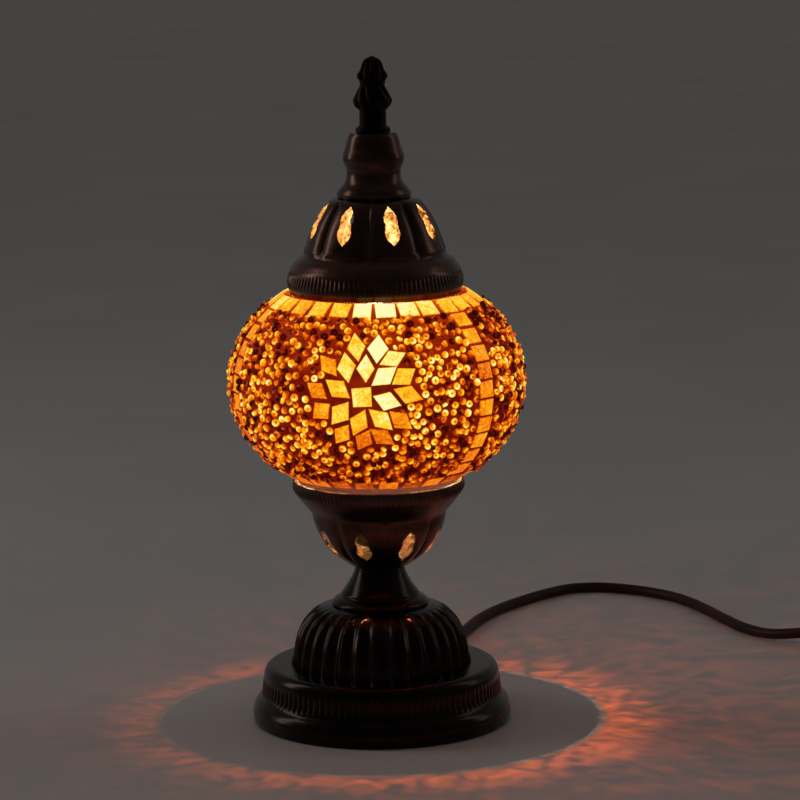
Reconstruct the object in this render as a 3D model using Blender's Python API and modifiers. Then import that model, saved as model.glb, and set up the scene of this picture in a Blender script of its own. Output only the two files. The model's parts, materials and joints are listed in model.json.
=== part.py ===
"""Mosaic glass table lamp: pressed brass foot and cup, an oval glass globe, a pierced cap and a cord.

Metres, +Z up. The origin is the centre of the underside, and the cord leaves at the back, towards +Y.
"""
import math

import bmesh
import bpy
from mathutils import Vector

MM = 0.001
GAP = 0.3 * MM              # clearance between two pieces that touch

# Foot
FOOT_RADIUS = 56.0 * MM     # widest radius, at the rolled lip
FOOT_TOP = 24.8 * MM        # flat ledge that the dome stands on
SHEET = 1.2 * MM            # thickness of the pressed brass
DOME_RADIUS = 38.0 * MM
DOME_TOP = 50.8 * MM
SKIRT_TOP = 67.2 * MM

# Cup and globe
CUP_FLOOR = 67.5 * MM
CUP_RIM_RADIUS = 36.9 * MM
CUP_RIM = 105.3 * MM
GLOBE_CENTRE = 148.2 * MM
GLOBE_RADIUS = 63.0 * MM    # over the mosaic
GLOBE_HALF_HEIGHT = 50.4 * MM
GLASS = 2.0 * MM
MOSAIC = 1.4 * MM
NECK_RADIUS = 34.0 * MM     # short collars at both ends of the glass

# Cap
CAP_RIM = 187.0 * MM
CAP_RIM_RADIUS = 37.5 * MM
CAP_TOP = 227.2 * MM
COLLAR_TOP = 254.8 * MM
FINIAL_TOP = 287.3 * MM
WINDOWS = 8
CAP_WINDOW_TURN = math.radians(16.5)
CUP_WINDOW_TURN = math.radians(28.7)

# Hollow threaded rod and its hexagon nuts
ROD_RADIUS = 5.0 * MM
ROD_BORE = 3.4 * MM
ROD_BOTTOM = 16.0 * MM
ROD_TOP = 84.0 * MM
ROD_HOLE = 5.4 * MM         # hole in each sheet that the rod goes through
NUT_RADIUS = 8.1 * MM
NUT_HEIGHT = 4.0 * MM

# Cap stud
STUD_RADIUS = 2.0 * MM
STUD_HOLE = 2.4 * MM

# Lampholder and bulb
HOLDER_RADIUS = 13.7 * MM
HOLDER_SPLIT = 92.0 * MM
HOLDER_TOP = 127.0 * MM
SOCKET_FLOOR = 101.0 * MM
SCREW_RADIUS = 7.0 * MM     # small screw base, 14 mm across
BULB_RADIUS = 17.5 * MM
BULB_TIP = 204.0 * MM

# Cord
CORD = 5.0 * MM             # diameter
EXIT_TURN = math.radians(15.0)    # how far right of the back the cord leaves
EXIT_HEIGHT = 15.5 * MM
SWITCH_START = Vector((222.0, 110.0, 8.6)) * MM
SWITCH_HEADING = math.radians(-20.0)
SWITCH_LENGTH = 62.0 * MM
COIL_CENTRE = Vector((274.4, 15.0, 0.0)) * MM
COIL_INNER = 17.0 * MM
COIL_OUTER = 39.0 * MM
COIL_HEIGHT = 10.6 * MM
PLUG_START = Vector((311.0, -62.0, 7.0)) * MM
PLUG_LENGTH = 36.0 * MM

METALS = {"antique_bronze": (0.055, 0.033, 0.022), "raw_brass": (0.56, 0.38, 0.16), "steel": (0.5, 0.5, 0.5)}
COLOURS = {
    "amber_glass": (0.85, 0.42, 0.08),
    "mosaic": (0.75, 0.25, 0.03),
    "bulb_glass": (0.95, 0.85, 0.65),
    "filament": (1.0, 0.75, 0.35),
    "felt": (0.02, 0.02, 0.02),
    "cord_brown": (0.03, 0.015, 0.01),
    "black_plastic": (0.015, 0.015, 0.015),
    "ivory_plastic": (0.75, 0.72, 0.62),
    "rubber": (0.02, 0.018, 0.016),
}


def clear_scene():
    """Remove what a new file holds."""
    for thing in list(bpy.data.objects):
        bpy.data.objects.remove(thing, do_unlink=True)


def collection(name):
    """A new collection under the scene."""
    group = bpy.data.collections.new(name)
    bpy.context.scene.collection.children.link(group)
    return group


def material(name):
    """The named finish, made once."""
    if name in bpy.data.materials:
        return bpy.data.materials[name]
    finish = bpy.data.materials.new(name)
    finish.use_nodes = True
    shader = finish.node_tree.nodes["Principled BSDF"]
    colour = METALS.get(name) or COLOURS[name]
    shader.inputs["Base Color"].default_value = (*colour, 1.0)
    shader.inputs["Metallic"].default_value = 1.0 if name in METALS else 0.0
    shader.inputs["Roughness"].default_value = 0.3 if name in METALS else 0.45
    return finish


def add(name, mesh, finish, group, parent=None):
    """Link a mesh as a named, smooth-shaded object."""
    thing = bpy.data.objects.new(name, mesh)
    group.objects.link(thing)
    thing.parent = parent
    if finish:
        mesh.materials.append(material(finish))
    mesh.shade_smooth()
    mesh.set_sharp_from_angle(angle=math.radians(35))
    return thing


def turned(name, profile, finish, group, steps=24, closed=True, parent=None):
    """A turned piece. The profile is (radius, height) in mm and runs down its outer side first."""
    mesh = bpy.data.meshes.new(name)
    points = [(radius * MM, 0.0, height * MM) for radius, height in profile]
    edges = [(i, i + 1) for i in range(len(points) - 1)]
    if closed:
        edges.append((len(points) - 1, 0))
    mesh.from_pydata(points, edges, [])
    thing = add(name, mesh, finish, group, parent)
    screw = thing.modifiers.new("turn", "SCREW")
    screw.angle = math.tau
    screw.steps = steps
    screw.render_steps = steps
    screw.use_merge_vertices = True
    screw.merge_threshold = 0.00001
    screw.use_smooth_shade = True
    return thing


def tube(name, points, radius, finish, group, sides=2):
    """A solid round run of cord or wire through the points."""
    curve = bpy.data.curves.new(name, "CURVE")
    curve.dimensions = "3D"
    curve.bevel_depth = radius
    curve.bevel_resolution = sides
    curve.use_fill_caps = True
    curve.resolution_u = 1
    spline = curve.splines.new("POLY")
    spline.points.add(len(points) - 1)
    for point, place in zip(spline.points, points):
        point.co = (*place, 1.0)
    thing = bpy.data.objects.new(name, curve)
    group.objects.link(thing)
    curve.materials.append(material(finish))
    return thing


def outline_solid(name, outline, thickness, group, finish=None, parent=None):
    """A flat outline in the XZ plane, in mm, as a solid that spreads half its thickness to each side in Y."""
    curve = bpy.data.curves.new(name, "CURVE")
    curve.dimensions = "2D"
    curve.fill_mode = "BOTH"
    curve.extrude = thickness / 2
    spline = curve.splines.new("POLY")
    spline.use_cyclic_u = True
    spline.points.add(len(outline) - 1)
    for point, (x, y) in zip(spline.points, outline):
        point.co = (x * MM, y * MM, 0.0, 1.0)
    flat = bpy.data.objects.new(name + "_outline", curve)
    group.objects.link(flat)
    bpy.context.view_layer.update()
    evaluated = flat.evaluated_get(bpy.context.evaluated_depsgraph_get())
    mesh = bpy.data.meshes.new_from_object(evaluated)
    bpy.data.objects.remove(flat)
    shape = bmesh.new()
    shape.from_mesh(mesh)
    bmesh.ops.remove_doubles(shape, verts=shape.verts, dist=0.00001)
    bmesh.ops.recalc_face_normals(shape, faces=shape.faces)
    shape.to_mesh(mesh)
    shape.free()
    mesh.materials.clear()
    return add(name, mesh, finish, group, parent)


def block(name, size, centre, finish, group, parent=None, rounding=0.0):
    """A box with its edges rounded."""
    mesh = bpy.data.meshes.new(name)
    shape = bmesh.new()
    bmesh.ops.create_cube(shape, size=1.0)
    bmesh.ops.scale(shape, vec=Vector(size) * MM, verts=shape.verts)
    shape.to_mesh(mesh)
    shape.free()
    thing = add(name, mesh, finish, group, parent)
    thing.location = Vector(centre) * MM
    if rounding:
        bevel = thing.modifiers.new("round", "BEVEL")
        bevel.width = rounding * MM
        bevel.segments = 2
    return thing


def rod(name, radius, length, centre, finish, group, axis="Z", steps=20, parent=None):
    """A plain cylinder about its centre, in metres."""
    mesh = bpy.data.meshes.new(name)
    shape = bmesh.new()
    bmesh.ops.create_cone(
        shape, cap_ends=True, segments=steps, radius1=radius, radius2=radius, depth=length
    )
    shape.to_mesh(mesh)
    shape.free()
    thing = add(name, mesh, finish, group, parent)
    thing.location = centre
    if axis == "Y":
        thing.rotation_euler.x = math.pi / 2
    if axis == "X":
        thing.rotation_euler.y = math.pi / 2
    return thing


def hide_cutter(cutter):
    """A cutter is only a guide."""
    cutter.hide_render = True
    cutter.display_type = "WIRE"


def cut(thing, cutter):
    """Take the cutter's shape out of a piece."""
    hide_cutter(cutter)
    boolean = thing.modifiers.new("cut_" + cutter.name, "BOOLEAN")
    boolean.operation = "DIFFERENCE"
    boolean.solver = "EXACT"
    boolean.object = cutter
    return boolean


def smooth_route(route, spacing):
    """Points evenly spaced along a smooth curve through the route's own points."""
    fine = []
    for i in range(len(route) - 1):
        before = route[max(i - 1, 0)]
        start, end = route[i], route[i + 1]
        after = route[min(i + 2, len(route) - 1)]
        for step in range(20):
            t = step / 20
            fine.append(
                0.5 * (2 * start + (end - before) * t + (2 * before - 5 * start + 4 * end - after) * t**2
                       + (3 * start - before - 3 * end + after) * t**3)
            )
    fine.append(route[-1])
    lengths = [0.0]
    for a, b in zip(fine, fine[1:]):
        lengths.append(lengths[-1] + (b - a).length)
    count = max(round(lengths[-1] / spacing), 2)
    points = []
    place = 0
    for step in range(count + 1):
        goal = lengths[-1] * step / count
        while place < len(fine) - 2 and lengths[place + 1] < goal:
            place += 1
        share = (goal - lengths[place]) / (lengths[place + 1] - lengths[place])
        points.append(fine[place].lerp(fine[place + 1], min(share, 1.0)))
    return points


def shell(outer, thickness):
    """A closed profile from an outer one that runs down, with the inner side a sheet's thickness in."""
    inner = []
    for i, (radius, height) in enumerate(outer):
        before = outer[max(i - 1, 0)]
        after = outer[min(i + 1, len(outer) - 1)]
        along = Vector((after[0] - before[0], after[1] - before[1])).normalized()
        if i in (0, len(outer) - 1):
            along = Vector((round(along.x), round(along.y))).normalized()
        inner.append((radius + along.y * thickness, height - along.x * thickness))
    return outer + inner[::-1]


def oval(radius, reach, count=7):
    """Points down the globe's side, between the two heights where it has narrowed to reach, in mm."""
    half_height = radius * GLOBE_HALF_HEIGHT / GLOBE_RADIUS
    spread = math.acos(reach / radius)
    points = []
    for step in range(count):
        angle = spread * (1 - 2 * step / (count - 1))
        points.append((radius * math.cos(angle), GLOBE_CENTRE / MM + half_height * math.sin(angle)))
    return points


def foot(group, cutters):
    """Felt, bottom plate and the pressed foot with its rolled lip."""
    turned("felt_pad", [(52.0, 1.2), (52.0, 0.0), (6.0, 0.0), (6.0, 1.2)], "felt", group)
    turned("bottom_plate", [(52.5, 2.5), (52.5, 1.5), (6.0, 1.5), (6.0, 2.5)], "steel", group)
    outer = [
        (ROD_HOLE / MM, FOOT_TOP / MM), (47.3, FOOT_TOP / MM), (49.4, 23.9), (50.6, 22.0), (51.1, 19.5),
        (52.3, 11.5), (54.6, 8.9), (55.7, 6.4), (FOOT_RADIUS / MM, 3.6), (55.5, 0.6),
    ]
    base = turned("base_plate", shell(outer, SHEET / MM), "antique_bronze", group, steps=30)
    away = Vector((math.sin(EXIT_TURN), math.cos(EXIT_TURN), 0.0))
    hole = rod("cord_hole", 4.3 * MM, 12 * MM, away * 52 * MM, None, cutters, axis="Y", steps=16)
    hole.location.z = EXIT_HEIGHT
    hole.rotation_euler.z = -EXIT_TURN
    cut(base, hole)


def dome_and_neck(group):
    """The fluted dome on the foot, and the trumpet neck on the dome."""
    dome = [
        (ROD_HOLE / MM, DOME_TOP / MM), (20.5, DOME_TOP / MM), (25.0, 49.9), (29.0, 47.8), (32.6, 44.2),
        (35.2, 39.6), (36.9, 34.5), (37.8, 29.5), (DOME_RADIUS / MM, 25.1),
    ]
    turned("fluted_dome", shell(dome, 1.0), "antique_bronze", group)
    neck = [
        (ROD_HOLE / MM, SKIRT_TOP / MM), (10.6, SKIRT_TOP / MM), (11.2, 65.0), (12.4, 62.4), (14.4, 59.0),
        (17.3, 55.2), (20.2, 52.3), (20.8, 51.1),
    ]
    turned("neck_skirt", shell(neck, 1.0), "antique_bronze", group, steps=20)


def window(half_width, height):
    """The outline of one pierced window: pointed at both ends, with a small notch at each side."""
    steps = [
        (0.0, 0.0), (0.8, 0.17), (1.0, 0.36), (0.78, 0.52), (0.9, 0.62), (0.88, 0.78), (0.4, 0.92),
        (0.0, 1.0),
    ]
    right = [(x * half_width, y * height) for x, y in steps]
    left = [(-x, y) for x, y in right[-2:0:-1]]
    return right + left


def pierce(thing, label, half_width, low, height, turn, cutters):
    """Cut pairs of opposite windows, one bar through the shell for each pair."""
    for pair in range(WINDOWS // 2):
        bar = outline_solid(f"{label}_window_{pair + 1}", window(half_width, height), 0.2, cutters)
        bar.rotation_euler = (math.pi / 2, 0.0, turn + pair * math.tau / WINDOWS)
        bar.location.z = low * MM
        cut(thing, bar)


def cup(group, cutters):
    """The pierced cup that carries the globe, and the soft ring under the glass."""
    floor = CUP_FLOOR / MM
    rim = CUP_RIM / MM
    radius = CUP_RIM_RADIUS / MM
    outer = [
        (radius, rim), (radius, 102.2), (34.4, 98.2), (31.0, 94.0), (29.2, 91.6), (28.4, 87.4), (26.6, 82.8),
        (24.2, 78.4), (20.6, 74.0), (14.6, 69.6), (10.9, floor), (ROD_HOLE / MM, floor),
    ]
    inner = [
        (ROD_HOLE / MM, floor + 1.1), (10.6, floor + 1.1), (13.8, 70.7), (19.8, 75.0), (23.2, 79.1),
        (25.6, 83.2), (27.4, 87.6), (28.2, 92.1), (30.2, 94.8), (33.6, 99.0), (radius - 1.0, 102.6),
        (radius - 1.0, rim),
    ]
    bowl = turned("cup_gallery", outer + inner, "antique_bronze", group)
    pierce(bowl, "cup", 3.7, 73.0, 13.8, CUP_WINDOW_TURN, cutters)
    ring = [(33.4, 100.9), (33.4, 100.0), (32.6, 98.9), (31.2, 98.9), (31.2, 100.9)]
    turned("seat_ring", ring, "rubber", group)


def globe(group):
    """The clear glass globe and the layer of grouted tiles and beads over it."""
    neck = NECK_RADIUS / MM
    bore = neck - 1.8
    glass = (GLOBE_RADIUS - MOSAIC - GAP) / MM
    over = [(bore, 194.0), (neck, 194.0), (neck, 185.4), (38.6, 184.7)]
    under = [(38.2, 109.9), (neck, 107.3), (neck, 101.2), (bore, 101.2), (bore, 108.4), (37.6, 111.5)]
    inside = oval(glass - GLASS / MM, 41.0)[::-1] + [(38.3, 182.7), (bore, 183.7)]
    turned("glass_globe", over + oval(glass, 42.0) + under + inside, "amber_glass", group)
    top = [(36.5, 185.9), (36.5, 186.5), (38.5, 186.4)]
    foot_edge = [(38.5, 108.2), (36.3, 106.6), (35.3, 105.3), (34.35, 105.3), (34.35, 107.1), (38.2, 109.5)]
    skin = top + oval(GLOBE_RADIUS / MM, 42.0) + foot_edge
    turned("mosaic_layer", skin + oval(glass + GAP / MM, 42.0)[::-1], "mosaic", group)


def cap(group, cutters):
    """The pierced cap with its collar, finial, stud, washer and nut, which lift off together."""
    radius = CAP_RIM_RADIUS / MM
    top = CAP_TOP / MM
    dome = [
        (STUD_HOLE / MM, top), (16.0, top), (19.6, 225.8), (23.0, 221.8), (26.0, 216.8), (28.6, 210.5),
        (30.2, 206.0), (31.4, 203.0), (34.0, 199.4), (36.6, 195.6), (radius, 192.8), (radius, 189.8),
        (36.9, 187.9), (36.9, CAP_RIM / MM),
    ]
    crown = turned("cap_dome", shell(dome, 1.0), "antique_bronze", group)
    pierce(crown, "cap", 3.3, 209.3, 16.1, CAP_WINDOW_TURN, cutters)
    collar = [
        (STUD_HOLE / MM, COLLAR_TOP / MM), (9.8, COLLAR_TOP / MM), (10.6, 253.4), (11.8, 249.2),
        (12.9, 245.6), (12.9, 242.6), (11.5, 239.0), (11.6, 236.2), (12.7, 233.6), (14.8, 231.2),
        (16.0, 229.2), (15.6, 227.5),
    ]
    turned("cap_collar", shell(collar, 1.0), "antique_bronze", group, steps=16)
    tip = [
        (0.0, FINIAL_TOP / MM), (3.4, 285.2), (5.2, 281.2), (6.3, 279.0), (5.3, 275.0), (6.2, 272.4),
        (8.0, 268.6), (7.4, 266.2), (5.7, 264.1), (5.7, 257.9), (7.4, 256.6), (7.4, 255.1), (2.35, 255.1),
        (2.35, 266.0), (0.0, 266.0),
    ]
    turned("finial", tip, "antique_bronze", group, steps=12, closed=False)
    rod("cap_stud", STUD_RADIUS, 46.0 * MM, (0.0, 0.0, 242.5 * MM), "steel", group, steps=12)
    turned("cap_washer", washer(6.5, STUD_HOLE / MM, 224.9, 1.0), "steel", group, steps=16)
    nut("cap_nut", 4.2 * MM, 3.2 * MM, STUD_HOLE, 221.4 * MM, group, cutters)


def washer(radius, bore, low, thickness):
    """A flat ring's profile, in mm."""
    return [(radius, low + thickness), (radius, low), (bore, low), (bore, low + thickness)]


def nut(name, radius, height, bore, low, group, cutters):
    """A hexagon nut."""
    body = rod(name, radius, height, (0.0, 0.0, low + height / 2), "steel", group, steps=6)
    hole = rod(name + "_bore", bore, 2 * height, body.location, None, cutters, steps=16)
    cut(body, hole)


def rod_and_nuts(group, cutters):
    """The hollow threaded rod that clamps foot, dome, neck and cup together, with the lead inside it."""
    rod_profile = [
        (ROD_RADIUS / MM, ROD_TOP / MM), (ROD_RADIUS / MM, ROD_BOTTOM / MM),
        (ROD_BORE / MM, ROD_BOTTOM / MM), (ROD_BORE / MM, ROD_TOP / MM),
    ]
    turned("threaded_rod", rod_profile, "steel", group, steps=16)
    turned("base_washer", washer(10.0, ROD_HOLE / MM, 22.1, 1.2), "steel", group, steps=16)
    nut("base_nut", NUT_RADIUS, NUT_HEIGHT, ROD_HOLE, 17.8 * MM, group, cutters)
    turned("cup_washer", washer(9.6, ROD_HOLE / MM, 68.9, 1.0), "steel", group, steps=16)
    nut("cup_nut", NUT_RADIUS, NUT_HEIGHT, ROD_HOLE, 70.2 * MM, group, cutters)


def lampholder(group):
    """The lampholder's lower cap and body, with the threaded shell and the contact inside."""
    radius = HOLDER_RADIUS / MM
    split = HOLDER_SPLIT / MM
    top = HOLDER_TOP / MM
    floor = SOCKET_FLOOR / MM
    lower = [(radius, split), (radius, 84.0), (11.6, 79.2), (8.4, 76.8), (ROD_HOLE / MM, 76.8)]
    turned("holder_cap", shell(lower, 1.2), "black_plastic", group, steps=16)
    bore = SCREW_RADIUS / MM + 1.3
    body = [
        (bore, top), (11.8, top), (11.8, 112.0), (radius, 109.0), (radius, split + 0.3), (10.0, split + 0.3),
        (10.0, 97.0), (3.0, 97.0), (3.0, floor), (bore, floor),
    ]
    turned("holder_body", body, "black_plastic", group, steps=16)
    sleeve = [(7.95, 126.5), (7.95, 103.5), (7.35, 103.5), (7.35, 126.5)]
    turned("screw_shell", sleeve, "raw_brass", group, steps=16)
    contact = [(0.0, 103.6), (2.4, 103.6), (3.8, 102.3), (3.8, 101.3), (2.6, 101.3), (2.6, 95.5), (0.0, 95.5)]
    turned("centre_contact", contact, "raw_brass", group, steps=12, closed=False)


def bulb(group):
    """A candle bulb: glass, metal base, contact, stem, and a filament that runs up and down round a cage."""
    wall = [
        (0.0, BULB_TIP / MM), (2.6, 201.2), (6.8, 192.4), (12.6, 180.0), (16.4, 168.5),
        (BULB_RADIUS / MM, 158.0), (16.2, 147.6), (12.4, 138.8), (9.0, 133.6), (8.2, 131.4),
    ]
    inside = [
        (7.4, 131.4), (8.2, 134.0), (11.7, 139.3), (15.4, 148.0), (16.7, 158.0), (15.6, 168.2),
        (11.9, 179.6), (6.1, 192.0), (2.0, 200.4), (0.0, 203.0),
    ]
    turned("bulb_glass", wall + inside, "bulb_glass", group, steps=16, closed=False)
    base = [(SCREW_RADIUS / MM, 131.0), (SCREW_RADIUS / MM, 109.5), (5.2, 107.2), (3.7, 106.7)]
    turned("bulb_base", shell(base, 0.6), "raw_brass", group, steps=16)
    turned("bulb_contact", [(0.0, 106.4), (3.1, 106.4), (2.6, 104.3), (0.0, 104.0)], "steel", group, steps=12,
           closed=False)
    stem = [(0.0, 160.0), (2.2, 160.0), (2.4, 148.0), (5.0, 136.0), (5.4, 128.0), (0.0, 128.0)]
    turned("bulb_stem", stem, "bulb_glass", group, steps=12, closed=False)
    corners = 7
    wire = [Vector((-1.2, 0.0, 160.4))]
    for corner in range(corners):
        turn = math.pi + math.tau * (corner + 0.5) / corners
        height = 163.5 if corner % 2 == 0 else 177.5
        wire.append(Vector((5.0 * math.cos(turn), 5.0 * math.sin(turn), height)))
    wire.append(Vector((1.2, 0.0, 160.4)))
    tube("bulb_filament", [point * MM for point in wire], 0.4 * MM, "filament", group, sides=1)


def relief(group):
    """The rubber strain relief in the foot's wall, and the lead inside the lamp."""
    away = Vector((math.sin(EXIT_TURN), math.cos(EXIT_TURN), 0.0))
    profile = [
        (0.0, 80.0), (3.2, 80.0), (4.2, 55.4), (4.8, 55.0), (4.8, 53.8), (3.9, 53.6), (3.9, 49.1), (5.2, 49.1),
        (5.2, 47.9), (0.0, 47.9),
    ]
    sleeve = turned("strain_relief", profile, "rubber", group, steps=16, closed=False)
    sleeve.rotation_euler = (-math.pi / 2, 0.0, -EXIT_TURN)
    sleeve.location.z = EXIT_HEIGHT
    steps = [
        (47.1, 15.4), (42.0, 14.9), (34.0, 11.6), (25.0, 7.6), (16.0, 6.2), (8.5, 7.2),
        (3.0, 10.8), (0.4, 16.0),
    ]
    route = [away * reach * MM + Vector((0.0, 0.0, height * MM)) for reach, height in steps]
    route += [Vector((0.0, 0.0, height * MM)) for height in (24.0, 50.0, 88.0)]
    tube("inner_lead", smooth_route(route, 9 * MM), 2.2 * MM, "cord_brown", group)


def cord_runs(group):
    """The cord on the table: lamp to switch, switch to coil, the coil, and coil to plug."""
    first = [
        (20.8, 77.6, 15.5), (25.5, 95.0, 13.4), (30.5, 114.0, 7.2), (35.5, 132.0, 3.2), (40.5, 151.0, 2.6),
        (47.5, 173.0, 2.6), (57.0, 193.0, 2.6), (69.0, 211.0, 2.6), (82.0, 227.0, 2.6), (95.5, 238.5, 2.6),
        (110.0, 240.5, 2.6), (123.0, 235.5, 2.6), (134.5, 227.5, 2.6), (144.5, 217.0, 2.6),
        (152.0, 204.0, 2.6), (159.0, 186.0, 2.6), (166.0, 165.0, 2.6), (173.5, 146.0, 2.6),
        (184.0, 130.0, 3.4), (200.0, 118.5, 6.4),
        (221.7, 110.1, 8.6),
    ]
    second = [
        (280.5, 88.7, 8.6), (292.0, 83.5, 7.0), (302.5, 73.0, 4.0), (309.0, 58.0, 2.7), (311.0, 37.5, 2.6),
    ]
    third = [(311.0, -8.0, 7.8), (311.0, -22.0, 6.2), (311.0, -36.0, 6.4), (311.0, -47.4, 7.0)]
    for name, steps in (("cord_run_lamp", first), ("cord_run_switch", second), ("cord_run_plug", third)):
        route = [Vector(step) * MM for step in steps]
        tube(name, smooth_route(route, 2.2 * CORD), CORD / 2, "cord_brown", group)
    height = COIL_HEIGHT / MM
    outer = COIL_OUTER / MM
    inner = COIL_INNER / MM
    ring = [(outer - 1.5, height), (outer, height - 1.5), (outer, 1.5), (outer - 1.5, 0.0)]
    ring += [(inner + 1.5, 0.0), (inner, 1.5), (inner, height - 1.5), (inner + 1.5, height)]
    coil = turned("cord_coil", ring, "cord_brown", group, steps=24)
    coil.location = COIL_CENTRE


def holder_empty(name, group, place, heading):
    """An empty that carries a few pieces, turned about Z."""
    carrier = bpy.data.objects.new(name, None)
    group.objects.link(carrier)
    carrier.location = place
    carrier.rotation_euler.z = heading
    return carrier


def switch(group, cutters):
    """The inline rocker switch. Its empty is at the rocker's pivot, above the middle of the base."""
    along = Vector((math.cos(SWITCH_HEADING), math.sin(SWITCH_HEADING), 0.0))
    middle = SWITCH_START + along * SWITCH_LENGTH / 2
    middle.z = 13.5 * MM
    pivot = holder_empty("switch_pivot", group, middle, SWITCH_HEADING)
    length = SWITCH_LENGTH / MM
    shape = (length - 0.6, 22.0, 8.2)
    base = block("switch_base", shape, (0.0, 0.0, -9.3), "black_plastic", group, pivot, 1.6)
    cut(base, block("switch_well", (50.0, 17.0, 8.0), (0.0, 0.0, -7.0), None, cutters, pivot))
    cover = block("switch_cover", shape, (0.0, 0.0, -0.7), "black_plastic", group, pivot, 1.6)
    cut(cover, block("switch_hood", (50.0, 17.0, 8.0), (0.0, 0.0, -2.7), None, cutters, pivot))
    cut(cover, block("switch_window", (16.0, 9.8, 8.0), (0.0, 0.0, 2.5), None, cutters, pivot))
    rocker_size = (14.0, 8.8, 6.6)
    rocker = block("switch_rocker", rocker_size, (0.0, 0.0, 1.8), "ivory_plastic", group, pivot, 0.6)
    cut(rocker, rod("rocker_bore", 1.35 * MM, 20 * MM, (0.0, 0.0, 0.0), None, cutters, "Y", 16, pivot))
    rod("rocker_pin", 1.0 * MM, 16.4 * MM, (0.0, 0.0, 0.0), "steel", group, "Y", 12, pivot)


def plug(group):
    """The two-pin plug, lying on its flat side."""
    carrier = holder_empty("plug_carrier", group, PLUG_START, -math.pi / 2)
    half = [(0.0, 5.0), (8.0, 6.4), (16.0, 12.0), (24.0, 16.8), (30.0, 17.4), (PLUG_LENGTH / MM, 16.6)]
    sides = half + [(x, -y) for x, y in half[::-1]]
    outline_solid("plug_body", sides[::-1], 13.6 * MM, group, "black_plastic", carrier)
    for label, side in (("plug_pin_left", 1), ("plug_pin_right", -1)):
        place = ((PLUG_LENGTH / MM + 9.8) * MM, side * 9.2 * MM, 0.0)
        rod(label, 2.0 * MM, 19.0 * MM, place, "raw_brass", group, "X", 12, carrier)
    taper = [(0.0, -0.3), (4.4, -0.3), (3.2, -14.3), (0.0, -14.3)]
    collar = turned("plug_relief", taper, "rubber", group, steps=16, closed=False, parent=carrier)
    collar.rotation_euler.y = math.pi / 2


def build():
    """Make the whole lamp."""
    clear_scene()
    lamp = collection("mosaic_table_lamp")
    cutters = collection("cutters")
    foot(lamp, cutters)
    dome_and_neck(lamp)
    cup(lamp, cutters)
    globe(lamp)
    rod_and_nuts(lamp, cutters)
    lampholder(lamp)
    bulb(lamp)
    cap(lamp, cutters)
    relief(lamp)
    cord_runs(lamp)
    switch(lamp, cutters)
    plug(lamp)


build()
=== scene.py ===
import json
import math
import random

import bmesh
import bpy
import numpy as np
from mathutils import Euler, Matrix, Vector


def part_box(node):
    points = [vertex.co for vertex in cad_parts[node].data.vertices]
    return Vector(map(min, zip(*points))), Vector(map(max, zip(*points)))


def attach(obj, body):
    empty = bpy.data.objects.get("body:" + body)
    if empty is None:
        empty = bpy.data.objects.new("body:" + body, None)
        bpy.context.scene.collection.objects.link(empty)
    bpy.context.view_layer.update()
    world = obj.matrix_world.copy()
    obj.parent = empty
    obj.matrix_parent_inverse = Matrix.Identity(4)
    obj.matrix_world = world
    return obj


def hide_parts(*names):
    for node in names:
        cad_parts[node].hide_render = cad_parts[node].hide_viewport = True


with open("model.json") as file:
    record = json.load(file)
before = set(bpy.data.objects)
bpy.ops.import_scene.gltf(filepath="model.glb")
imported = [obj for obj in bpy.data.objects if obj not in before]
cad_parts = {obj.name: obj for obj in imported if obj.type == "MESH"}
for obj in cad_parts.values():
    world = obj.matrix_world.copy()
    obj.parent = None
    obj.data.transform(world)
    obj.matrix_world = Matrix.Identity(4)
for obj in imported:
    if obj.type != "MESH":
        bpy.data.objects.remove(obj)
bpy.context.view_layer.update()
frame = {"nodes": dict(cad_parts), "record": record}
NODES = frame["nodes"]
RECORD = frame["record"]
BODY_OF = {node: body for body, nodes in RECORD["behaviour"]["bodies"].items() for node in nodes}
SLOT_OF = {part["node"]: part["material_slot"] for part in RECORD["subparts"]}
MM = 0.001
RANDOM = random.Random(11)


def middle(node):
    """The centre of a CAD node's box."""
    low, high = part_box(node)
    return (low + high) / 2


def smooth_step(value, low, high):
    """0 below low, 1 above high, and an even S between them."""
    share = np.clip((value - low) / (high - low), 0.0, 1.0)
    return share * share * (3 - 2 * share)


def band(value, low, high, fade):
    """1 between low and high, fading to 0 outside them."""
    return smooth_step(value, low, low + fade) * (1 - smooth_step(value, high - fade, high))


def curve_point(start, end, leaving, arriving, t):
    """A point a share t of the way along a smooth curve with the given directions at its ends."""
    square, cube = t**2, t**3
    along = start * (2 * cube - 3 * square + 1) + end * (3 * square - 2 * cube)
    return along + leaving * (cube - 2 * square + t) + arriving * (cube - square)


def outward(turn):
    """The level direction at a turn round the lamp's axis, and the one to its left."""
    away = Vector((math.cos(turn), math.sin(turn), 0.0))
    return away, Vector((-away.y, away.x, 0.0))


def new_object(name, data):
    """An object in the scene's own collection."""
    thing = bpy.data.objects.new(name, data)
    bpy.context.scene.collection.objects.link(thing)
    return thing


def new_mesh(name, points, faces):
    """A mesh of points and faces."""
    mesh = bpy.data.meshes.new(name)
    mesh.from_pydata(points, [], faces)
    return mesh


def grid_faces(rows, columns, closed=False, base=0):
    """Four-sided faces between rings of points, and from the last ring to the first where it is closed."""
    faces = []
    for row in range(rows if closed else rows - 1):
        here, above = base + row * columns, base + (row + 1) % rows * columns
        for column in range(columns):
            beside = (column + 1) % columns
            faces.append((here + column, above + column, above + beside, here + beside))
    return faces


def ring_of(count, radius=1.0):
    """Points on a circle, counter-clockwise."""
    turns = (math.tau * i / count for i in range(count))
    return [(radius * math.cos(turn), radius * math.sin(turn)) for turn in turns]


# ---------------- camera

CAMERA_DISTANCE = 1.5
CAMERA_HEIGHT = 0.39
CAMERA_PITCH = math.radians(9.47)
CAMERA_ROLL = math.radians(-0.9)
LENS = 159.5
SIDE_SHIFT = 0.0285


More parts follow.
